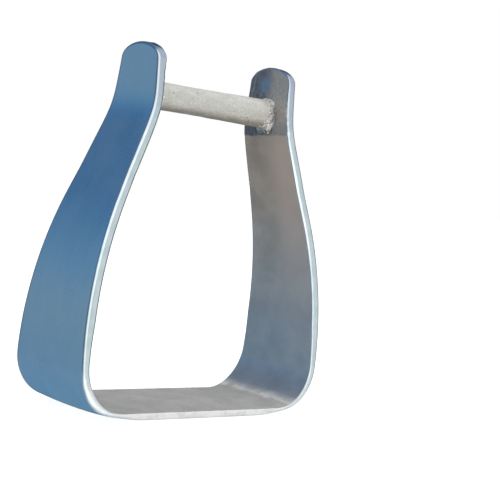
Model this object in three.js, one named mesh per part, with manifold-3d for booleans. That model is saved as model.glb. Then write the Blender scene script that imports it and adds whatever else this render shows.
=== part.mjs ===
// Western stirrup: one bent metal strap (tread, two legs, two upright ears), a round crossbar
// between the ears and a weld bead at each end of the bar.
// Millimetres. +X runs along the crossbar, +Y from front to back, +Z up.
// The origin is on the ground, under the middle of the tread.

import * as THREE from 'three';
import { mergeVertices } from 'three/addons/utils/BufferGeometryUtils.js';
import Module from 'manifold-3d';

// Strap, seen from the front: its outer face runs from the middle of the tread to an ear's top.
// The turns add up to a right angle, so the ears stand upright.
const TREAD_HALF_LENGTH = 48;
const LOWER_CORNER = { radius: 24, turn: 87 };
const LEG_CURVE = { radius: 171, turn: 25 };
const LEG_STRAIGHT = 40;
const NECK_BEND = { radius: 20, turn: -22 };
const EAR_LENGTH = 24;

// Strap thickness: even along the tread, growing round the corner and up the foot of the leg,
// then easing off again to the neck.
const THICKNESS = { tread: 3.1, foot: 3.7, leg: 4.9, neck: 4.5 };
const FOOT_LENGTH = 20;

// Strap, seen from the side: it tapers from the tread to the neck and on to the ears' round tops.
const TREAD_DEPTH = 50.8;
const NECK_DEPTH = 34.6;
const EAR_DEPTH = 26.6;
const TAPER_START = 6;
const NECK_HEIGHT = 108;
const TAPER_BULGE = 0.8;
const CROWN_HEIGHT = 7.6;

// Crossbar and welds.
const BAR_DIAMETER = 12.7;
const BAR_BELOW_TOP = 22.4;
const WELD_LEG = 3.4;
const JOINT_GAP = 0.3;

// Fineness: the most a facet turns, in degrees, and how long it may be.
const CURVE_STEP = 5;
const CURVE_LENGTH = 7.5;
const BAR_SIDES = 40;

const METALS = {
  polished: { color: 0x8fa6b8, roughness: 0.22, metalness: 1 },
  sandblasted: { color: 0xbab4a8, roughness: 0.62, metalness: 1 },
  weld: { color: 0xc9c4b9, roughness: 0.42, metalness: 1 },
};

const wasm = await Module();
wasm.setup();

const degrees = THREE.MathUtils.degToRad;

// Walks along stretches of constant curvature and returns the points passed,
// each with its heading and the distance walked.
function walk(stretches) {
  let heading = 0;
  let distance = 0;
  const here = new THREE.Vector2();
  const points = [{ at: here.clone(), heading, distance }];
  for (const { length, turn } of stretches) {
    const steps = turn === 0 ? 1 : Math.ceil(Math.max(Math.abs(turn) / CURVE_STEP, length / CURVE_LENGTH));
    const stepTurn = degrees(turn) / steps;
    const stepLength = length / steps;
    const chord = turn === 0 ? stepLength : stepLength * Math.sin(stepTurn / 2) / (stepTurn / 2);
    for (let i = 0; i < steps; i += 1) {
      const direction = heading + stepTurn / 2;
      here.x += chord * Math.cos(direction);
      here.y += chord * Math.sin(direction);
      heading += stepTurn;
      distance += stepLength;
      points.push({ at: here.clone(), heading, distance });
    }
  }
  return points;
}

const arc = ({ radius, turn }) => ({ length: Math.abs(radius * degrees(turn)), turn });

const STRETCHES = [
  { length: TREAD_HALF_LENGTH, turn: 0 },
  arc(LOWER_CORNER),
  arc(LEG_CURVE),
  { length: LEG_STRAIGHT, turn: 0 },
  arc(NECK_BEND),
  { length: EAR_LENGTH, turn: 0 },
];

const ENDS = STRETCHES.reduce((ends, { length }) => [...ends, ends.at(-1) + length], [0]);

function thicknessAt(distance) {
  const [, treadEnd, legFoot, , neck] = ENDS;
  const between = (start, end) => THREE.MathUtils.clamp((distance - start) / (end - start), 0, 1);
  return THICKNESS.tread
    + (THICKNESS.foot - THICKNESS.tread) * between(treadEnd, legFoot)
    + (THICKNESS.leg - THICKNESS.foot) * between(legFoot, legFoot + FOOT_LENGTH)
    + (THICKNESS.neck - THICKNESS.leg) * between(legFoot + FOOT_LENGTH, neck);
}

const outerPath = walk(STRETCHES);
const innerPath = outerPath.map(({ at, heading, distance }) => {
  const thick = thicknessAt(distance);
  return new THREE.Vector2(at.x - thick * Math.sin(heading), at.y + thick * Math.cos(heading));
});
const STRAP_HEIGHT = outerPath.at(-1).at.y;
const BAR_HEIGHT = STRAP_HEIGHT - BAR_BELOW_TOP;
const EAR_INNER_X = innerPath.at(-1).x;

const mirror = (p) => new THREE.Vector2(-p.x, p.y);

function toSolid(geometry) {
  const bare = geometry.clone();
  bare.deleteAttribute('normal');
  bare.deleteAttribute('uv');
  const merged = mergeVertices(bare, 1e-4);
  return new wasm.Manifold(new wasm.Mesh({
    numProp: 3,
    vertProperties: Float32Array.from(merged.attributes.position.array),
    triVerts: Uint32Array.from(merged.index.array),
  }));
}

function toGeometry(solid) {
  const { vertProperties, triVerts } = solid.getMesh();
  const geometry = new THREE.BufferGeometry();
  geometry.setAttribute('position', new THREE.BufferAttribute(vertProperties, 3));
  geometry.setIndex(new THREE.BufferAttribute(triVerts, 1));
  geometry.computeVertexNormals();
  return geometry;
}

// The strap as a band of full depth, seen from the front.
function bandGeometry() {
  const outer = outerPath.map(({ at }) => at);
  const outline = [
    ...outer,
    ...innerPath.toReversed(),
    ...innerPath.slice(1).map(mirror),
    ...outer.slice(1).map(mirror).reverse(),
  ];
  const band = new THREE.ExtrudeGeometry(new THREE.Shape(outline), {
    depth: TREAD_DEPTH,
    bevelEnabled: false,
  });
  band.rotateX(Math.PI / 2);
  band.translate(0, TREAD_DEPTH / 2, 0);
  return band;
}

// A block whose outline is the strap seen from the side, long enough to cover its whole width.
function sideGeometry() {
  const crownStart = STRAP_HEIGHT - CROWN_HEIGHT;
  const [foot, neck, ear] = [TREAD_DEPTH / 2, NECK_DEPTH / 2, EAR_DEPTH / 2];
  const bulge = 2 * TAPER_BULGE;
  const legMiddle = [(foot + neck) / 2 + bulge, (TAPER_START + NECK_HEIGHT) / 2];
  const earMiddle = [(neck + ear) / 2 + bulge / 2, (NECK_HEIGHT + crownStart) / 2];
  const outline = new THREE.Shape();
  outline.moveTo(-foot, -1);
  outline.lineTo(foot, -1);
  outline.lineTo(foot, TAPER_START);
  outline.quadraticCurveTo(legMiddle[0], legMiddle[1], neck, NECK_HEIGHT);
  outline.quadraticCurveTo(earMiddle[0], earMiddle[1], ear, crownStart);
  outline.absellipse(0, crownStart, ear, CROWN_HEIGHT, 0, Math.PI);
  outline.quadraticCurveTo(-earMiddle[0], earMiddle[1], -neck, NECK_HEIGHT);
  outline.quadraticCurveTo(-legMiddle[0], legMiddle[1], -foot, TAPER_START);
  const width = 4 * EAR_INNER_X;
  const block = new THREE.ExtrudeGeometry(outline, { depth: width, bevelEnabled: false, curveSegments: 12 });
  const acrossWidth = new THREE.Matrix4().makeBasis(
    new THREE.Vector3(0, 1, 0),
    new THREE.Vector3(0, 0, 1),
    new THREE.Vector3(1, 0, 0),
  );
  block.applyMatrix4(acrossWidth);
  block.translate(-width / 2, 0, 0);
  return block;
}

function named(name, geometry, metal) {
  const mesh = new THREE.Mesh(geometry, new THREE.MeshStandardMaterial(METALS[metal]));
  mesh.name = name;
  return mesh;
}

function strap() {
  const solid = toSolid(bandGeometry()).intersect(toSolid(sideGeometry()));
  return named('strap', toGeometry(solid), 'polished');
}

function crossbar() {
  const length = 2 * (EAR_INNER_X - JOINT_GAP);
  const bar = named(
    'crossbar',
    new THREE.CylinderGeometry(BAR_DIAMETER / 2, BAR_DIAMETER / 2, length, BAR_SIDES),
    'sandblasted',
  );
  bar.rotation.z = Math.PI / 2;
  bar.position.z = BAR_HEIGHT;
  return bar;
}

// A ring round one end of the bar: a fillet with a slightly convex slope, turned about the bar's axis.
function weld(name, side) {
  const inner = BAR_DIAMETER / 2 + JOINT_GAP;
  const outline = new THREE.Shape();
  outline.moveTo(inner, 0);
  outline.lineTo(inner + WELD_LEG, 0);
  outline.quadraticCurveTo(inner + 0.55 * WELD_LEG, 0.55 * WELD_LEG, inner, WELD_LEG);
  const profile = outline.getPoints(4);
  const ring = named(name, new THREE.LatheGeometry([...profile, profile[0].clone()], BAR_SIDES), 'weld');
  ring.rotation.z = side * Math.PI / 2;
  ring.position.set(side * (EAR_INNER_X - JOINT_GAP), 0, BAR_HEIGHT);
  return ring;
}

const stirrup = new THREE.Group();
stirrup.add(strap(), crossbar(), weld('weld_left', -1), weld('weld_right', 1));

export default stirrup;
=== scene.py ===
"""A polished aluminium western stirrup on a plain pale floor.

The strap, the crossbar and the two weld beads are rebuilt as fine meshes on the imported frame:
rounded edges, belt-ground faces, a cast skin inside the ears, a sandblasted bar and lumpy welds.
Lengths are in metres; MM turns millimetres into them.
"""

import math

import bpy
import numpy as np
from mathutils import Matrix, Vector, noise


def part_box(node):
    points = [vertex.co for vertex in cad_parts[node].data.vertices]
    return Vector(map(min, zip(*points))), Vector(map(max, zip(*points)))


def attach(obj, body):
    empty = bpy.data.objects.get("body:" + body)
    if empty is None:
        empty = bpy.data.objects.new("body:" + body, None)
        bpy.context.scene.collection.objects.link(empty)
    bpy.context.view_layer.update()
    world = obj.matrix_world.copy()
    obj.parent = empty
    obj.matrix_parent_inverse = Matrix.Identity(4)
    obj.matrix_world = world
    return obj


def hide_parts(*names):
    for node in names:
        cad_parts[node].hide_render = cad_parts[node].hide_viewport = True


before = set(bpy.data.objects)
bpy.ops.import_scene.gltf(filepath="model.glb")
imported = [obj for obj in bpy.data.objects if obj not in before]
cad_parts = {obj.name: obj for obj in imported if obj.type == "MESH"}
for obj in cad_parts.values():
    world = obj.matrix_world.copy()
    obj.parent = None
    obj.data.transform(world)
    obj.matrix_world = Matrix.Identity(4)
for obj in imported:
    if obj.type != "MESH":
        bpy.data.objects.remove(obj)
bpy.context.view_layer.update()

MM = 0.001

# ---------------------------------------------------------------- the strap's driving dimensions
# Seen from the front, from the middle of the tread to an ear's top.
# A straight stretch has a length; a bend has a radius and the degrees that it turns.
TREAD_HALF_LENGTH = 48 * MM
LOWER_CORNER = (24 * MM, 87)
LEG_CURVE = (171 * MM, 25)
LEG_STRAIGHT = 40 * MM
NECK_BEND = (20 * MM, -22)
EAR_LENGTH = 24 * MM

TREAD_THICKNESS = 3.1 * MM
FOOT_THICKNESS = 3.7 * MM
LEG_THICKNESS = 4.9 * MM
NECK_THICKNESS = 4.5 * MM
FOOT_LENGTH = 20 * MM  # from the leg's foot up to where the leg has its full thickness

# Seen from the side: half depths of the strap, and the heights where its taper starts and changes.
FOOT_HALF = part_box("strap")[1].y
NECK_HALF = 17.3 * MM
EAR_HALF = 13.3 * MM
TAPER_START = 6 * MM
NECK_HEIGHT = 108 * MM
TAPER_BULGE = 0.8 * MM
CROWN_HEIGHT = 7.6 * MM
STRAP_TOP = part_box("strap")[1].z
CROWN_START = STRAP_TOP - CROWN_HEIGHT

# ---------------------------------------------------------------- bar and welds, from the frame
BAR_LO, BAR_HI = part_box("crossbar")
BAR_RADIUS = (BAR_HI.z - BAR_LO.z) / 2
BAR_HEIGHT = (BAR_HI.z + BAR_LO.z) / 2
JOINT_GAP = 0.3 * MM  # what the CAD model leaves between a weld and the ear
EAR_INNER_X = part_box("weld_right")[1].x + JOINT_GAP


# ================================================================ arithmetic
def smoothstep(low, high, value):
    t = np.clip((value - low) / (high - low), 0, 1)
    return t * t * (3 - 2 * t)


def bell(offset, reach):
    """1 where the offset is 0, falling smoothly to almost 0 at twice the reach."""
    return np.exp(-(offset / reach) ** 2)


def noise_at(points, scale, seed, octaves=1):
    """Smooth noise in about -1..1 at each point; scale is the size of one lump."""
    shift = Vector((seed * 7.31, seed * 3.17, seed * 5.93))
    values = np.zeros(len(points))
    size, weight = scale, 1.0
    for _ in range(octaves):
        values += weight * np.array([noise.noise(Vector(p) / size + shift) for p in points])
        size, weight = size / 2.1, weight * 0.5
    return values


# ================================================================ the strap's path
def arc_length(bend):
    radius, turn = bend
    return abs(radius * math.radians(turn))


class Path:
    """The strap's outer face seen from the front, by signed distance from the middle of the tread."""

    STEP = 0.1 * MM
    SOFTENING = 1.2 * MM       # how gently one curvature passes into the next
    NECK_SOFTENING = 5.0 * MM  # the same round the neck bend, where polishing has eased it
    EASED_FROM = 25 * MM       # how far below the leg's top the easing starts
    EASED_BY = 10 * MM         # and how far below it the easing is complete

    def __init__(self):
        stretches = [
            (TREAD_HALF_LENGTH, 0),
            (arc_length(LOWER_CORNER), LOWER_CORNER[1]),
            (arc_length(LEG_CURVE), LEG_CURVE[1]),
            (LEG_STRAIGHT, 0),
            (arc_length(NECK_BEND), NECK_BEND[1]),
            (EAR_LENGTH, 0),
        ]
        ends = np.cumsum([0] + [length for length, _ in stretches])
        turned = np.cumsum([0] + [math.radians(turn) for _, turn in stretches])
        _, self.tread_end, self.leg_foot, _, self.leg_top, self.neck, ear_top = ends
        self.s = np.arange(0, ear_top + self.STEP, self.STEP)
        heading = np.interp(self.s, ends, turned)
        firm = self.softened(heading, self.SOFTENING)
        eased = self.softened(heading, self.NECK_SOFTENING)
        on_neck = smoothstep(self.leg_top - self.EASED_FROM, self.leg_top - self.EASED_BY, self.s)
        self.heading = firm + (eased - firm) * on_neck
        self.x = np.concatenate([[0], np.cumsum(np.cos(self.heading[1:]) * self.STEP)])
        self.z = np.concatenate([[0], np.cumsum(np.sin(self.heading[1:]) * self.STEP)])
        self.crown = float(np.interp(CROWN_START, self.z, self.s))

    def softened(self, heading, softening):
        reach = int(3 * softening / self.STEP)
        kernel = np.exp(-0.5 * (np.arange(-reach, reach + 1) * self.STEP / softening) ** 2)
        return np.convolve(np.pad(heading, reach, mode="edge"), kernel / kernel.sum(), mode="valid")

    def at(self, distance):
        """Outer point and inward normal, seen from the front, and the strap's thickness there."""
        side = np.where(distance < 0, -1.0, 1.0)
        away = np.abs(distance)
        heading = np.interp(away, self.s, self.heading)
        x = np.interp(away, self.s, self.x) * side
        z = np.interp(away, self.s, self.z)
        thick = np.interp(
            away,
            [self.tread_end, self.leg_foot, self.leg_foot + FOOT_LENGTH, self.leg_top],
            [TREAD_THICKNESS, FOOT_THICKNESS, LEG_THICKNESS, NECK_THICKNESS],
        )
        return x, z, -np.sin(heading) * side, np.cos(heading), thick


PATH = Path()
# The ears' inner faces keep their cast skin above this distance, where the grinding belt stopped.
SKIN_START = PATH.neck - 7.6 * MM
SKIN_SLANT = 0.07  # it stopped a little higher at the front


def half_depth(z):
    """Half of the strap's depth at a height below the crown."""
    low = np.clip((z - TAPER_START) / (NECK_HEIGHT - TAPER_START), 0, 1)
    high = np.clip((z - NECK_HEIGHT) / (CROWN_START - NECK_HEIGHT), 0, 1)
    leg = FOOT_HALF + (NECK_HALF - FOOT_HALF) * low + 4 * TAPER_BULGE * low * (1 - low)
    return leg + (EAR_HALF - NECK_HALF) * high + 2 * TAPER_BULGE * high * (1 - high)


# ================================================================ the strap's mesh
COARSE_ROW = 1.4 * MM
FINE_ROW = 0.55 * MM
FINE_BELOW_BEND = 6 * MM
CROWN_ROWS = 10
CROWN_TURN = math.radians(52)
COLUMNS = 56
EDGE_STEPS = 7

# Metal gone from the outer face at the edges of the lower corners: how much, where and how far along.
CORNER_WEAR = 1.3 * MM
CORNER_WEAR_MIDDLE = PATH.tread_end + 3 * MM
CORNER_WEAR_REACH = 9 * MM

# The strap's kinds of face, numbered in the order of STRAP_METALS.
OUTER_FACE, RIM, INNER_FACE = range(3)


def row_distances():
    """Signed distances of the rows between the two crowns: fine on the ears, coarser below."""
    fine_from = PATH.leg_top - FINE_BELOW_BEND
    coarse = np.linspace(0, fine_from, int(fine_from / COARSE_ROW) + 1)
    fine = np.linspace(fine_from, PATH.crown, int((PATH.crown - fine_from) / FINE_ROW) + 1)
    half = np.concatenate([coarse, fine[1:]])
    return np.concatenate([-half[:0:-1], half])


class Rounding:
    """How far a long edge's rounding reaches across the face and into the thickness.

    Four sizes in mm, each (across, into): on the tread, the lower corners, the legs and ears,
    and the crowns.
    """

    CORNER = PATH.tread_end + 0.30 * (PATH.leg_foot - PATH.tread_end)
    CORNER_REACH = 15 * MM
    LEG_BY = PATH.leg_foot + 12 * MM
    CROWN_FROM = PATH.crown - 7 * MM
    CROWN_BY = PATH.crown + 3 * MM

    def __init__(self, tread, corner, leg, crown):
        self.sizes = np.array([tread, corner, leg, crown]) * MM

    def reach(self, distance, column):
        away = np.abs(distance)
        tread, corner, leg, crown = self.sizes[:, column]
        base = tread + (leg - tread) * smoothstep(PATH.tread_end, self.LEG_BY, away)
        base += (crown - leg) * smoothstep(self.CROWN_FROM, self.CROWN_BY, away)
        return base + (corner - base) * bell(away - self.CORNER, self.CORNER_REACH)

    def across(self, distance):
        return self.reach(distance, 0)

    def into(self, distance):
        return self.reach(distance, 1)


OUTER_EDGE = Rounding(tread=(0.9, 0.8), corner=(3.0, 2.0), leg=(1.6, 1.5), crown=(1.3, 1.3))
INNER_EDGE = Rounding(tread=(0.5, 0.5), corner=(0.7, 0.6), leg=(1.2, 1.6), crown=(0.4, 0.4))


def sheet_rows(edge, share):
    """The strap unrolled: rows of (distance, across) points, drawn in by a share of a rounding."""
    across = np.linspace(-1, 1, COLUMNS + 1)
    inset = edge.across(PATH.crown) * share
    crown_half, crown_high = EAR_HALF - inset, CROWN_HEIGHT - inset
    crown = []
    for i in range(1, CROWN_ROWS + 1):
        angle = CROWN_TURN * i / CROWN_ROWS
        row_half = crown_half * math.cos(angle)
        level = crown_high * math.sin(angle)
        v = across * row_half
        arch = crown_high * np.sqrt(np.clip(1 - (v / crown_half) ** 2, 0, 1))
        rise = level + (arch - level) * (i / CROWN_ROWS) ** 2
        crown.append(np.stack([PATH.crown + rise, v], axis=1))
    rows = []
    for distance in row_distances():
        height = np.interp(abs(distance), PATH.s, PATH.z)
        half = half_depth(height) - edge.across(distance) * share
        rows.append(np.stack([np.full(COLUMNS + 1, distance), across * half], axis=1))
    left = [row * np.array([-1, 1]) for row in reversed(crown)]
    return np.array(left + rows + crown)


def rim_loop(rows):
    """The outline of a grid of rows, once round."""
    return np.concatenate([rows[0, :-1], rows[:-1, -1], rows[-1, :0:-1], rows[:0:-1, 0]])


def strap_layers():
    """The closed strap in layers: outer sheet, outer rounding, middle, inner rounding, inner sheet.

    Gives every point's (distance, across), its share of the thickness and the metres added to that,
    and then the faces and their kinds.
    """
    outer_sheet = sheet_rows(OUTER_EDGE, 1)
    n_rows, n_cols = outer_sheet.shape[:2]
    index = np.arange(n_rows * n_cols).reshape(n_rows, n_cols)
    quads = np.stack([index[:-1, :-1], index[1:, :-1], index[1:, 1:], index[:-1, 1:]], axis=-1)
    quads = quads.reshape(-1, 4)
    border = rim_loop(index[..., None])[:, 0]

    layers = [(outer_sheet.reshape(-1, 2), 0, 0)]
    turns = np.linspace(0, math.pi / 2, EDGE_STEPS + 1)[1:]
    for turn in turns:
        ring = rim_loop(sheet_rows(OUTER_EDGE, 1 - math.sin(turn)))
        layers.append((ring, 0, OUTER_EDGE.into(ring[:, 0]) * (1 - math.cos(turn))))
    # Halfway between the two roundings, which are of different size.
    middle = rim_loop(sheet_rows(INNER_EDGE, 0))
    off_centre = (OUTER_EDGE.into(middle[:, 0]) - INNER_EDGE.into(middle[:, 0])) / 2
    layers.append((middle, 0.5, off_centre))
    for turn in turns[::-1]:
        ring = rim_loop(sheet_rows(INNER_EDGE, 1 - math.sin(turn)))
        layers.append((ring, 1, -INNER_EDGE.into(ring[:, 0]) * (1 - math.cos(turn))))
    layers.append((sheet_rows(INNER_EDGE, 1).reshape(-1, 2), 1, 0))

    flat = np.concatenate([points for points, _, _ in layers])
    share = np.concatenate([np.full(len(points), part, float) for points, part, _ in layers])
    extra = np.concatenate([np.broadcast_to(more, len(points)) for points, _, more in layers])

    rings = [border]
    start = n_rows * n_cols
    for points, _, _ in layers[1:-1]:
        rings.append(np.arange(start, start + len(points)))
        start += len(points)
    rings.append(border + start)
    rim = np.concatenate([
        np.stack([ring, np.roll(ring, -1), np.roll(after, -1), after], axis=-1)
        for ring, after in zip(rings, rings[1:])
    ])
    faces = np.concatenate([quads, rim, quads[:, ::-1] + start])[:, ::-1]
    kinds = np.repeat([OUTER_FACE, RIM, INNER_FACE], [len(quads), len(rim), len(quads)])
    return flat, share, extra, faces, kinds


# Little drops of weld metal on the ears' inner faces: (across, above the bar, width, height), in mm.
SPATTER = [
    (7.4, 14.6, 0.9, 0.5), (6.4, 11.5, 0.8, 0.45), (4.6, 13.4, 0.6, 0.35),
    (3.1, 10.6, 0.9, 0.5), (7.9, 9.3, 0.7, 0.35), (1.4, 9.6, 0.7, 0.4),
    (-2.2, 10.9, 0.5, 0.3), (5.2, 8.8, 0.8, 0.5), (-6.8, -9.1, 0.7, 0.35),
    (8.8, -7.9, 0.8, 0.4), (-9.4, 3.1, 0.5, 0.25),
]


def strap_relief(points, distance, across, share):
    """How far each point stands out: polishing waves, the ears' cast skin and spatter, rough edges."""
    away = np.abs(distance)
    outer = 1 - smoothstep(0.0, 0.4, share)
    inner = smoothstep(0.7, 1.0, share)
    rim = 1 - outer - inner
    ragged = away + SKIN_SLANT * across + 0.6 * MM * noise_at(points, 6 * MM, seed=8)
    on_ear = smoothstep(SKIN_START - 0.5 * MM, SKIN_START + 0.7 * MM, ragged)
    on_tread = 1 - smoothstep(PATH.tread_end - 4 * MM, PATH.tread_end + 12 * MM, away)

    relief = outer * 0.04 * MM * noise_at(points, 17 * MM, seed=1)
    relief += inner * (1 - on_ear) * 0.035 * MM * noise_at(points, 9 * MM, seed=2)
    relief += inner * on_ear * (0.12 + 0.14 * noise_at(points, 2.4 * MM, seed=3, octaves=2)) * MM
    relief += rim * (0.008 + 0.07 * on_tread) * MM * noise_at(points, 3.2 * MM, seed=4, octaves=2)
    burr = bell(share - 0.85, 0.2) * on_tread
    relief += burr * 0.22 * MM * np.clip(noise_at(points, 4.5 * MM, seed=9, octaves=2), -0.2, 1)
    for v, up, width, height in SPATTER:
        spot = np.hypot(across - v * MM, points[:, 2] - BAR_HEIGHT - up * MM)
        relief += inner * height * MM * bell(spot, width * MM)
    return relief


def build_strap():
    flat, share, extra, faces, kinds = strap_layers()
    distance, across = flat[:, 0], flat[:, 1]
    x, z, nx, nz, thick = PATH.at(distance)
    depth = share * thick + extra
    worn = bell(np.abs(distance) - CORNER_WEAR_MIDDLE, CORNER_WEAR_REACH) * (across / FOOT_HALF) ** 2
    depth += CORNER_WEAR * worn * (1 - smoothstep(0.2, 1.0, depth / thick))
    points = np.stack([x + nx * depth, across, z + nz * depth], axis=1)
    mesh = new_mesh("polished_strap", points, faces)
    moved = points + vertex_normals(mesh) * strap_relief(points, distance, across, share)[:, None]
    moved[:, 2] = np.maximum(moved[:, 2], 0)
    set_points(mesh, moved)
    add_vectors(mesh, "strip", np.stack([distance, across, depth], axis=1))
    mesh.polygons.foreach_set("material_index", kinds.astype(np.int32))
    return mesh


# ================================================================ mesh helpers
def new_mesh(name, points, faces):
    mesh = bpy.data.meshes.new(name)
    mesh.from_pydata([tuple(p) for p in points], [], [tuple(int(i) for i in f) for f in faces])
    mesh.validate()
    mesh.shade_smooth()
    return mesh


def vertex_normals(mesh):
    normals = np.zeros(len(mesh.vertices) * 3, np.float32)
    mesh.vertex_normals.foreach_get("vector", normals)
    return normals.reshape(-1, 3)


def set_points(mesh, points):
    mesh.vertices.foreach_set("co", np.asarray(points, np.float32).ravel())
    mesh.update()


def add_vectors(mesh, name, values):
    layer = mesh.attributes.new(name, "FLOAT_VECTOR", "POINT")
    layer.data.foreach_set("vector", np.asarray(values, np.float32).ravel())


def add_piece(name, mesh, materials, slot, *nodes):
    piece = bpy.data.objects.new(name, mesh)
    bpy.context.scene.collection.objects.link(piece)
    for material in materials:
        mesh.materials.append(material)
    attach(piece, "root")
    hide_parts(*nodes)


# ================================================================ the crossbar
BAR_SIDES = 110
BAR_RINGS = 190
BAR_IN_EAR = 0.6 * MM
BAR_INSET = 0.1 * MM  # with it, the lumps stand about as far out as the CAD bar
BAR_SWELL = 0.5 * MM  # the bar is this much stouter at its right end
SWELL_FROM, SWELL_BY = -12 * MM, 32 * MM


def build_bar():
    half = EAR_INNER_X + BAR_IN_EAR
    x = np.repeat(np.linspace(-half, half, BAR_RINGS), BAR_SIDES)
    angles = np.tile(np.linspace(0, 2 * math.pi, BAR_SIDES, endpoint=False), BAR_RINGS)
    out = np.stack([np.zeros(len(angles)), np.cos(angles), np.sin(angles)], axis=1)
    radius = BAR_RADIUS - BAR_INSET + BAR_SWELL * smoothstep(SWELL_FROM, SWELL_BY, x)
    points = out * radius[:, None]
    points[:, 0] = x
    lumps = 0.12 * MM * noise_at(points, 5 * MM, seed=5)
    lumps += 0.05 * MM * noise_at(points, 1.1 * MM, seed=6, octaves=2)
    points += out * lumps[:, None]
    points[:, 2] += BAR_HEIGHT

    index = np.arange(len(points)).reshape(BAR_RINGS, BAR_SIDES)
    after = np.roll(index, -1, axis=1)
    quads = np.stack([index[:-1], after[:-1], after[1:], index[1:]], axis=-1).reshape(-1, 4)
    return new_mesh("crossbar_skin", points, [*quads, index[0][::-1], index[-1]])


# ================================================================ the weld beads
WELD_SIDES = 240
WELD_STEPS = 44
WELD_IN_EAR = 0.7 * MM
WELD_IN_BAR = 1.2 * MM
TOP, FRONT, BOTTOM = math.pi / 2, math.pi, -math.pi / 2  # angles round the bar, from its back


def build_weld(side, seed):
    """A lumpy collar round one end of the bar, with sagged metal under it."""
    angles = np.linspace(0, 2 * math.pi, WELD_SIDES, endpoint=False)
    ring = np.stack([np.cos(angles), np.sin(angles), np.zeros(WELD_SIDES)], axis=1) * BAR_RADIUS
    lumps = noise_at(ring, 3.2 * MM, seed, octaves=2)
    long_lumps = noise_at(ring, 7 * MM, seed + 1)

    def near(angle, width):
        return bell(np.mod(angles - angle + math.pi, 2 * math.pi) - math.pi, width)

    under = 0.55 * near(BOTTOM, 0.50) + 0.55 * near(BOTTOM + 0.42, 0.20)
    under += 0.5 * near(BOTTOM - 0.36, 0.20)
    over = near(TOP - 0.2, 0.45)
    facing = near(FRONT, 0.7)
    shoulders = near(FRONT - 1.0, 0.35) + near(FRONT + 0.95, 0.35)
    # How far the metal climbs the ear and runs along the bar, the length over which it falls to its
    # collar on the bar, and the collar's height.
    up_ear = (1.0 - 0.75 * facing + 0.25 * shoulders + 3.0 * under + 0.8 * over + 0.30 * lumps) * MM
    along = (8.6 + 1.6 * long_lumps + 0.8 * under + 0.8 * lumps) * MM
    spread = (0.9 + 1.1 * under) * MM
    collar = (0.62 + 0.2 * long_lumps) * MM

    rows = []
    for step in np.linspace(0, 1, WELD_STEPS):
        u = along * step ** 1.3
        climb = (up_ear - collar) * np.exp(-(u / spread) ** 1.6)
        height = climb + collar * (1 - step ** 3) - 0.35 * MM * step ** 6
        rows.append((u - 0.05 * MM, BAR_RADIUS + height))
    in_ear = np.full(WELD_SIDES, -WELD_IN_EAR)
    in_bar = np.full(WELD_SIDES, BAR_RADIUS - WELD_IN_BAR)
    rows.insert(0, (in_ear, rows[0][1] - 0.3 * MM))
    rows += [(along * 0.9, in_bar), (in_ear, in_bar)]
    points = np.concatenate([
        np.stack([side * (EAR_INNER_X - u), r * np.cos(angles), r * np.sin(angles)], axis=1)
        for u, r in rows
    ])

    index = np.arange(len(points)).reshape(len(rows), WELD_SIDES)
    next_row, next_side = np.roll(index, -1, axis=0), np.roll(index, -1, axis=1)
    quads = np.stack([index, next_row, np.roll(next_row, -1, axis=1), next_side], axis=-1)
    quads = quads.reshape(-1, 4)
    if side < 0:
        quads = quads[:, ::-1]
    mesh = new_mesh("weld_bead", points, quads)
    bumps = 0.26 * MM * noise_at(points, 1.7 * MM, seed + 2, octaves=2)
    nuggets = 0.5 * MM * np.clip(noise_at(points, 1.5 * MM, seed + 3) - 0.32, 0, 1)
    outside_bar = np.arange(len(points)) < index[-2, 0]
    points += vertex_normals(mesh) * ((bumps + nuggets) * outside_bar)[:, None]
    points[:, 2] += BAR_HEIGHT
    set_points(mesh, points)
    return mesh


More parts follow.
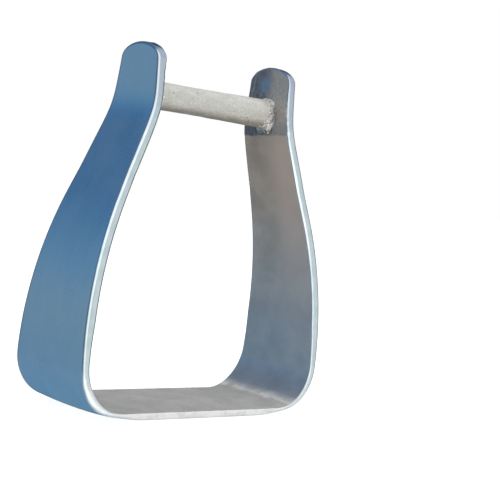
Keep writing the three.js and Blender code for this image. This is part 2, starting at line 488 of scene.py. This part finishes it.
# ================================================================ materials
class Nodes:
    """A short way to write a material: each call adds one node and returns its first output."""

    def __init__(self, name, tree=None):
        if tree is None:
            self.material = bpy.data.materials.new(name)
            self.material.use_nodes = True
            tree = self.material.node_tree
        self.tree = tree
        tree.nodes.clear()

    def node(self, kind, settings=None, **inputs):
        """Adds a node and returns it. An input is a socket's name, or its place with _ before it."""
        made = self.tree.nodes.new("ShaderNode" + kind)
        for key, value in (settings or {}).items():
            setattr(made, key, value)
        for key, value in inputs.items():
            socket = made.inputs[int(key[1:]) if key[0] == "_" else key.replace("_", " ")]
            if isinstance(value, bpy.types.NodeSocket):
                self.tree.links.new(value, socket)
            else:
                socket.default_value = value
        return made

    def add(self, kind, settings=None, **inputs):
        return self.node(kind, settings, **inputs).outputs[0]

    def math(self, operation, a, b=0.0, c=0.0):
        return self.add("Math", {"operation": operation}, _0=a, _1=b, _2=c)

    def times(self, a, b):
        return self.math("MULTIPLY", a, b)

    def scaled(self, value, factor, offset):
        return self.math("MULTIPLY_ADD", value, factor, offset)

    def one_minus(self, value):
        return self.math("SUBTRACT", 1.0, value)

    def noise(self, vector, scale, detail=2.0, roughness=0.5):
        return self.add("TexNoise", None, Vector=vector, Scale=scale, Detail=detail, Roughness=roughness)

    def remap(self, value, low, high, to_low=0.0, to_high=1.0):
        return self.add("MapRange", {"interpolation_type": "SMOOTHSTEP"},
                        _0=value, _1=low, _2=high, _3=to_low, _4=to_high)

    def stretch(self, vector, x, y, z):
        return self.add("VectorMath", {"operation": "MULTIPLY"}, _0=vector, _1=(x, y, z))

    def mix(self, factor, a, b):
        mixer = self.node("Mix", {"data_type": "RGBA"}, _0=factor)
        for value, socket in ((a, mixer.inputs[6]), (b, mixer.inputs[7])):
            if isinstance(value, bpy.types.NodeSocket):
                self.tree.links.new(value, socket)
            else:
                socket.default_value = (*value, 1)
        return mixer.outputs[2]

    def bump(self, height, distance, normal=None):
        made = self.node("Bump", None, Height=height, Distance=distance, Strength=1.0)
        if normal is not None:
            self.tree.links.new(normal, made.inputs["Normal"])
        return made.outputs[0]

    def finish(self, **inputs):
        shader = self.add("BsdfPrincipled", None, **inputs)
        self.tree.links.new(shader, self.node("OutputMaterial").inputs["Surface"])
        return self.material


def strip_coordinates(n):
    """Distance along the strap, place across it and depth into it: as one vector, and one by one."""
    strip = n.node("Attribute", {"attribute_name": "strip"}).outputs["Vector"]
    return strip, n.node("SeparateXYZ", None, Vector=strip).outputs


def polished_face():
    """The outer face: mirror-like, with faint belt lines along the strap and smudges."""
    n = Nodes("polished_outer_face")
    strip, _ = strip_coordinates(n)
    lines = n.noise(n.stretch(strip, 40, 950, 0), 1, 2, 0.5)
    wide_lines = n.noise(n.stretch(strip, 14, 190, 0), 1, 2, 0.5)
    smudge = n.noise(n.stretch(strip, 42, 60, 0), 1, 4, 0.55)
    rough = n.scaled(smudge, 0.16, 0.17)
    rough = n.scaled(wide_lines, 0.08, rough)
    tint = n.mix(n.remap(smudge, 0.3, 0.7), (0.78, 0.83, 0.87), (0.90, 0.92, 0.93))
    tint = n.mix(n.remap(wide_lines, 0.35, 0.65, 0.0, 0.35), tint, (0.80, 0.88, 0.96))
    tint = n.mix(n.remap(lines, 0.40, 0.70, 0.0, 0.15), tint, (0.99, 0.98, 0.96))
    normal = n.bump(lines, 0.002 * MM)
    normal = n.bump(wide_lines, 0.04 * MM, normal)
    return n.finish(Base_Color=tint, Metallic=1.0, Roughness=rough, Normal=normal)


def ground_rim():
    """The strap's long edges: belt-ground bright, rougher and paler on the tread, greyer on the ears."""
    n = Nodes("ground_edges")
    strip, (along, _, _) = strip_coordinates(n)
    away = n.math("ABSOLUTE", along)
    on_leg = n.remap(away, PATH.tread_end + 18 * MM, PATH.tread_end + 40 * MM)
    off_leg = n.one_minus(on_leg)
    on_ear = n.remap(away, PATH.neck - 12 * MM, PATH.neck + 4 * MM, 0.0, 0.9)
    in_bend = n.times(n.remap(away, PATH.tread_end + 1 * MM, PATH.tread_end + 8 * MM), off_leg)
    grain = n.noise(n.stretch(strip, 1500, 1500, 900), 1, 3, 0.6)
    lines = n.noise(n.stretch(strip, 120, 2500, 2500), 1, 3, 0.6)
    patches = n.noise(n.stretch(strip, 160, 300, 300), 1, 3, 0.6)

    smooth = n.scaled(patches, 0.12, 0.08)
    worn = n.scaled(patches, 0.30, 0.40)
    rough = n.math("ADD", n.times(smooth, on_leg), n.times(worn, off_leg))
    rough = n.scaled(in_bend, -0.12, rough)
    metallic = n.scaled(on_leg, 0.75, n.scaled(in_bend, 0.50, 0.25))

    tread_tint = n.mix(n.remap(patches, 0.34, 0.52), (0.86, 0.865, 0.85), (1.0, 0.995, 0.98))
    leg_tint = n.mix(n.remap(patches, 0.35, 0.65), (0.80, 0.84, 0.84), (0.92, 0.93, 0.93))
    tint = n.mix(on_leg, tread_tint, leg_tint)
    tint = n.mix(on_ear, tint, (0.72, 0.73, 0.77))

    normal = n.bump(lines, 0.02 * MM)
    normal = n.bump(n.times(grain, n.math("SUBTRACT", 1.1, on_leg)), 0.12 * MM, normal)
    return n.finish(Base_Color=tint, Metallic=metallic, Roughness=rough, Normal=normal)


def inner_face():
    """The inner face: matt on the tread, bright in the bends, satin up the legs, cast skin on the ears."""
    n = Nodes("ground_inner_face")
    strip, (along, across, _) = strip_coordinates(n)
    away = n.math("ABSOLUTE", along)
    ragged = n.scaled(n.noise(n.stretch(strip, 150, 150, 0), 1, 3, 0.6), 3 * MM, away)
    slanted = n.scaled(across, SKIN_SLANT, n.math("SUBTRACT", ragged, 1.5 * MM))
    on_ear = n.remap(slanted, SKIN_START - 0.5 * MM, SKIN_START + 0.6 * MM)
    on_leg = n.remap(ragged, PATH.tread_end + 12 * MM, PATH.tread_end + 20 * MM)
    off_leg = n.one_minus(on_leg)
    up_leg = n.remap(ragged, PATH.tread_end + 20 * MM, PATH.tread_end + 140 * MM)
    cross_lines = n.noise(n.stretch(strip, 2400, 70, 0), 1, 3, 0.6)
    long_lines = n.noise(n.stretch(strip, 60, 1800, 0), 1, 3, 0.6)
    clouds = n.noise(n.stretch(strip, 70, 70, 0), 1, 4, 0.6)
    cloudy = n.remap(clouds, 0.3, 0.7)
    skin = n.noise(n.stretch(strip, 620, 1100, 0), 1, 4, 0.6)

    # The tread: grey with a peppery grain, and a pale lip where the bend's brighter metal starts.
    tread = n.mix(cloudy, (0.455, 0.445, 0.425), (0.56, 0.55, 0.525))
    pepper = n.noise(n.stretch(strip, 700, 900, 0), 1, 3, 0.7)
    tread = n.mix(n.remap(pepper, 0.50, 0.70, 0.0, 0.4), tread, (0.74, 0.73, 0.70))
    tread = n.mix(n.remap(pepper, 0.30, 0.46, 0.4, 0.0), tread, (0.34, 0.335, 0.32))
    lip = n.times(n.remap(ragged, PATH.tread_end + 10 * MM, PATH.tread_end + 12.5 * MM), off_leg)
    lip = n.times(lip, n.remap(clouds, 0.42, 0.60, 0.1, 0.7))
    tread = n.mix(lip, tread, (0.85, 0.85, 0.84))

    # The bends and legs: bluish, turning brown up the leg, and paler and warmer towards the front.
    bend = n.mix(cloudy, (0.50, 0.54, 0.58), (0.61, 0.64, 0.67))
    leg = n.mix(cloudy, (0.42, 0.345, 0.28), (0.57, 0.475, 0.39))
    front = n.remap(n.scaled(clouds, 12 * MM, across), -4 * MM, 12 * MM, 1.0, 0.0)
    leg = n.mix(n.times(front, 0.8), leg, (0.72, 0.565, 0.46))

    # The ears: cast grey, darker and blue-grey towards the back with paler runs there, and a blue patch at
    # the crown.
    ear = n.mix(n.remap(skin, 0.30, 0.70), (0.33, 0.315, 0.305), (0.47, 0.45, 0.43))
    darker_back = n.remap(n.scaled(clouds, 10 * MM, across), 1 * MM, 9 * MM)
    ear = n.mix(n.times(darker_back, 0.8), ear, (0.085, 0.105, 0.135))
    runs = n.remap(n.noise(n.stretch(strip, 90, 420, 0), 1, 3, 0.6), 0.52, 0.68, 0.0, 0.5)
    ear = n.mix(n.times(darker_back, runs), ear, (0.34, 0.40, 0.45))
    place = n.add("CombineXYZ", None, X=away, Y=across)
    blue_patch_place = (PATH.crown - 0.5 * MM, 3 * MM, 0)
    off_blue_patch = n.node("VectorMath", {"operation": "DISTANCE"}, _0=place, _1=blue_patch_place).outputs["Value"]
    off_blue_patch = n.scaled(clouds, 8 * MM, n.math("SUBTRACT", off_blue_patch, 4 * MM))
    blue_patch = n.one_minus(n.remap(off_blue_patch, 0.5 * MM, 6.5 * MM))
    ear = n.mix(n.times(blue_patch, 0.75), ear, (0.17, 0.27, 0.42))

    tint = n.mix(on_ear, n.mix(on_leg, tread, n.mix(up_leg, bend, leg)), ear)
    metallic = n.times(n.scaled(up_leg, -0.45, 0.80), on_leg)
    metallic = n.scaled(off_leg, 0.35, metallic)
    rough = n.scaled(clouds, 0.12, 0.32)
    rough = n.scaled(off_leg, 0.24, rough)
    normal = n.bump(n.mix(on_leg, long_lines, cross_lines), 0.035 * MM)
    normal = n.bump(n.times(skin, on_ear), 0.20 * MM, normal)
    return n.finish(Base_Color=tint, Metallic=metallic, Roughness=rough, Normal=normal)


def blasted_bar():
    """The crossbar: a dull, warm, sandblasted skin with fine pits, and painted shade underneath."""
    n = Nodes("sandblasted_crossbar")
    place = n.node("TexCoord").outputs["Object"]
    grain = n.noise(place, 850, 3, 0.7)
    mottle = n.noise(n.stretch(place, 0.35, 1.0, 1.0), 330, 4, 0.65)
    pits = n.remap(n.add("TexVoronoi", None, Vector=place, Scale=700.0), 0.0, 0.45)
    _, _, upward = n.node("SeparateXYZ", None, Vector=n.node("NewGeometry").outputs["Normal"]).outputs
    tint = n.mix(n.remap(mottle, 0.32, 0.68), (0.64, 0.62, 0.56), (0.74, 0.725, 0.67))
    tint = n.mix(n.remap(grain, 0.52, 0.72, 0.0, 0.55), tint, (0.95, 0.935, 0.89))
    tint = n.mix(n.remap(grain, 0.26, 0.44, 0.45, 0.0), tint, (0.40, 0.375, 0.33))
    # Painted shade: the underside, found by its downward normal, is darkened to a brown and broken up by
    # the mottle.
    under = n.one_minus(n.remap(upward, -0.98, -0.30))
    bar_underside_shade = n.times(under, n.remap(mottle, 0.30, 0.55, 0.35, 1.0))
    tint = n.mix(n.times(bar_underside_shade, 0.9), tint, (0.36, 0.31, 0.25))
    speck = n.remap(n.noise(place, 760, 1, 0.5), 0.735, 0.775, 0.0, 0.7)
    tint = n.mix(speck, tint, (0.13, 0.12, 0.11))
    rough = n.scaled(mottle, 0.16, 0.48)
    normal = n.bump(grain, 0.16 * MM)
    normal = n.bump(pits, 0.06 * MM, normal)
    return n.finish(Base_Color=tint, Metallic=0.35, Roughness=rough, Normal=normal)


def weld_metal():
    """The weld beads: silvery and lumpy, dark in the hollows, with white specks that are partly painted
    glints, and painted shade beside the ear and under the bar, where they sag.
    """
    n = Nodes("weld_metal")
    place = n.node("TexCoord").outputs["Object"]
    lumps = n.noise(place, 520, 3, 0.6)
    grain = n.noise(place, 1800, 3, 0.7)
    beads = n.noise(place, 950, 2, 0.5)
    tint = n.mix(n.remap(lumps, 0.35, 0.60), (0.60, 0.58, 0.54), (0.97, 0.96, 0.92))
    # White specks: partly bright weld metal, partly painted glints.
    tint = n.mix(n.remap(beads, 0.54, 0.62), tint, (1.0, 0.99, 0.97))
    hollow = n.one_minus(n.remap(beads, 0.34, 0.42))
    tint = n.mix(hollow, tint, (0.20, 0.19, 0.17))

    along, back, height = n.node("SeparateXYZ", None, Vector=place).outputs
    # Painted shade: the weld's front and back sides are darkened right beside the ear.
    at_ear = n.remap(n.math("ABSOLUTE", along), EAR_INNER_X - 3.0 * MM, EAR_INNER_X - 0.9 * MM)
    at_side = n.remap(n.math("ABSOLUTE", back), 0.72 * BAR_RADIUS, 0.98 * BAR_RADIUS)
    tint = n.mix(n.times(n.times(at_ear, at_side), 0.8), tint, (0.30, 0.28, 0.26))
    # Painted shade: the weld is darkened below the bar, broken up by the beads noise.
    sag_end, sag_start = BAR_HEIGHT - 1.35 * BAR_RADIUS, BAR_HEIGHT - 0.75 * BAR_RADIUS
    weld_underside_shade = n.one_minus(n.remap(height, sag_end, sag_start))
    weld_underside_shade = n.times(weld_underside_shade, n.remap(beads, 0.45, 0.62, 0.90, 0.65))
    tint = n.mix(weld_underside_shade, tint, (0.22, 0.20, 0.185))

    rough = n.scaled(lumps, -0.20, 0.50)
    normal = n.bump(lumps, 0.22 * MM)
    normal = n.bump(grain, 0.08 * MM, normal)
    return n.finish(Base_Color=tint, Metallic=0.5, Roughness=rough, Normal=normal)


PAPER_GREY = (0.5, 0.5, 0.5, 1)
PAPER_GLOW = 0.74


def pale_floor():
    """White paper: it glows a little so that it stays white to the horizon, and its shadow stays light."""
    n = Nodes("pale_floor")
    paper = n.add("BsdfPrincipled", None, Base_Color=PAPER_GREY, Roughness=0.9, Specular_IOR_Level=0.0)
    glow = n.add("Emission", None, Color=(1, 1, 1, 1), Strength=PAPER_GLOW)
    seen = n.node("LightPath").outputs["Is Camera Ray"]
    lit = n.add("AddShader", None, _0=paper, _1=glow)
    n.tree.links.new(n.add("MixShader", None, _0=seen, _1=paper, _2=lit),
                     n.node("OutputMaterial").inputs["Surface"])
    return n.material


# ================================================================ floor, light and camera
FLOOR_SIZE = 12


def make_floor():
    bpy.ops.mesh.primitive_plane_add(size=FLOOR_SIZE, location=(0, 0, 0))
    floor = bpy.context.active_object
    floor.name = "floor"
    floor.data.materials.append(pale_floor())
    floor.visible_glossy = False


# The sky that the metal mirrors: 0 is straight down, 0.5 the horizon and 1 straight up.
SKY = [
    (0.00, (0.13, 0.27, 0.42)),
    (0.40, (0.13, 0.27, 0.42)),
    (0.48, (0.170, 0.298, 0.41)),
    (0.58, (0.114, 0.266, 0.438)),
    (0.70, (0.028, 0.142, 0.335)),
    (0.84, (0.070, 0.120, 0.190)),
    (1.00, (0.10, 0.22, 0.40)),
]
CLOUD_COLOUR = (0.45, 0.55, 0.62)

# The studio as the metal mirrors it: where each tone lies, its far and near cosine, and its colour.
REFLECTED_TONES = [
    ((0.76, -0.64, 0.12), (0.25, 0.90), (0.61, 0.71, 0.73)),
    ((0.62, -0.30, 0.72), (0.62, 0.95), (0.50, 0.56, 0.70)),
    ((-0.55, -0.35, 0.75), (0.75, 0.97), (0.90, 0.95, 1.00)),
    ((-0.58, -0.70, 0.42), (0.70, 0.92), (1.02, 1.10, 1.14)),
    ((-0.15, -0.55, -0.82), (0.48, 0.85), (1.35, 1.37, 1.37)),
]

# The dark parts of the studio, mirrored by the rounded edges: behind, to the right and to the left.
DARK_HEDGES = [
    ((0.45, 0.89, 0.0), (0.53, 0.78), (0.032, 0.050, 0.075)),
    ((0.95, 0.15, 0.0), (0.72, 0.93), (0.055, 0.085, 0.080)),
    ((-0.95, 0.30, 0.0), (0.90, 0.98), (0.10, 0.15, 0.19)),
]

NEUTRAL_LIGHT = (0.80, 0.80, 0.80)
WHITE = (1.0, 1.0, 1.0)


def closeness(n, direction, toward, far, near):
    """0 to 1 as a direction comes nearer another, between the cosines far and near."""
    aim = Vector(toward).normalized()
    cosine = n.node("VectorMath", {"operation": "DOT_PRODUCT"}, _0=direction, _1=aim).outputs["Value"]
    return n.remap(cosine, far, near)


def make_world():
    """White to the eye and neutral as light; the metal mirrors a blue sky with bright and dark sides."""
    world = bpy.data.worlds.new("studio")
    bpy.context.scene.world = world
    world.use_nodes = True
    n = Nodes("world", world.node_tree)
    direction = n.node("TexCoord").outputs["Generated"]
    _, _, up = n.node("SeparateXYZ", None, Vector=direction).outputs
    ramp = n.node("ValToRGB", None, Fac=n.scaled(up, 0.5, 0.5))
    elements = ramp.color_ramp.elements
    while len(elements) < len(SKY):
        elements.new(0.5)
    for element, (position, colour) in zip(elements, SKY):
        element.position = position
        element.color = (*colour, 1)
    clouds = n.noise(direction, 2.2, 4, 0.55)
    sky = n.mix(n.remap(clouds, 0.45, 0.75, 0.0, 0.18), ramp.outputs[0], CLOUD_COLOUR)
    for toward, (far, near), colour in REFLECTED_TONES:
        sky = n.mix(closeness(n, direction, toward, far, near), sky, colour)
    low = n.times(n.remap(up, -0.50, -0.28), n.one_minus(n.remap(up, 0.45, 0.75)))
    for toward, (far, near), colour in DARK_HEDGES:
        sky = n.mix(n.times(closeness(n, direction, toward, far, near), low), sky, colour)
    rays = n.node("LightPath").outputs
    seen = n.mix(rays["Is Glossy Ray"], NEUTRAL_LIGHT, sky)
    seen = n.mix(rays["Is Camera Ray"], seen, WHITE)
    background = n.add("Background", None, Color=seen, Strength=1.0)
    n.tree.links.new(background, n.node("OutputWorld").inputs["Surface"])


LIGHT_AIM = Vector((0, 0, 0.08))


def soft_light(name, place, size, watts, colour=WHITE):
    data = bpy.data.lights.new(name, "AREA")
    data.shape = "DISK"
    data.size = size
    data.energy = watts
    data.color = colour
    lamp = bpy.data.objects.new(name, data)
    lamp.location = place
    lamp.rotation_euler = (LIGHT_AIM - Vector(place)).to_track_quat("-Z", "Y").to_euler()
    lamp.visible_glossy = False
    bpy.context.scene.collection.objects.link(lamp)


CAMERA_PLACE = Vector((-0.43064, -0.47393, 0.11495))
CAMERA_AIM = Vector((0.0197, -0.0207, 0.0777))
CAMERA_ROLL = math.radians(7.6)
CAMERA_LENS = 99.33
SENSOR_WIDTH = 36
CLIP_START = 10 * MM


def make_camera():
    data = bpy.data.cameras.new("camera")
    data.lens = CAMERA_LENS
    data.sensor_width = SENSOR_WIDTH
    data.clip_start = CLIP_START
    camera = bpy.data.objects.new("camera", data)
    level = (CAMERA_AIM - CAMERA_PLACE).to_track_quat("-Z", "Y").to_matrix().to_4x4()
    camera.matrix_world = Matrix.Translation(CAMERA_PLACE) @ level @ Matrix.Rotation(CAMERA_ROLL, 4, "Z")
    bpy.context.scene.collection.objects.link(camera)
    bpy.context.scene.camera = camera


# ================================================================ put together
make_camera()
make_world()
make_floor()
soft_light("key", place=(0.55, -0.75, 0.75), size=0.5, watts=3.4, colour=(1.0, 0.98, 0.95))
soft_light("top", place=(-0.1, 0.1, 0.9), size=0.8, watts=2)
bpy.context.scene.view_settings.view_transform = "Standard"

STRAP_METALS = [polished_face(), ground_rim(), inner_face()]
BAR_METAL = blasted_bar()
WELD_METAL = weld_metal()
add_piece("strap_skin", build_strap(), STRAP_METALS, "polished_strap", "strap")
add_piece("crossbar_skin", build_bar(), [BAR_METAL], "sandblasted_bar", "crossbar")
add_piece("weld_left_bead", build_weld(-1, seed=11), [WELD_METAL], "weld_bead", "weld_left")
add_piece("weld_right_bead", build_weld(1, seed=23), [WELD_METAL], "weld_bead", "weld_right")
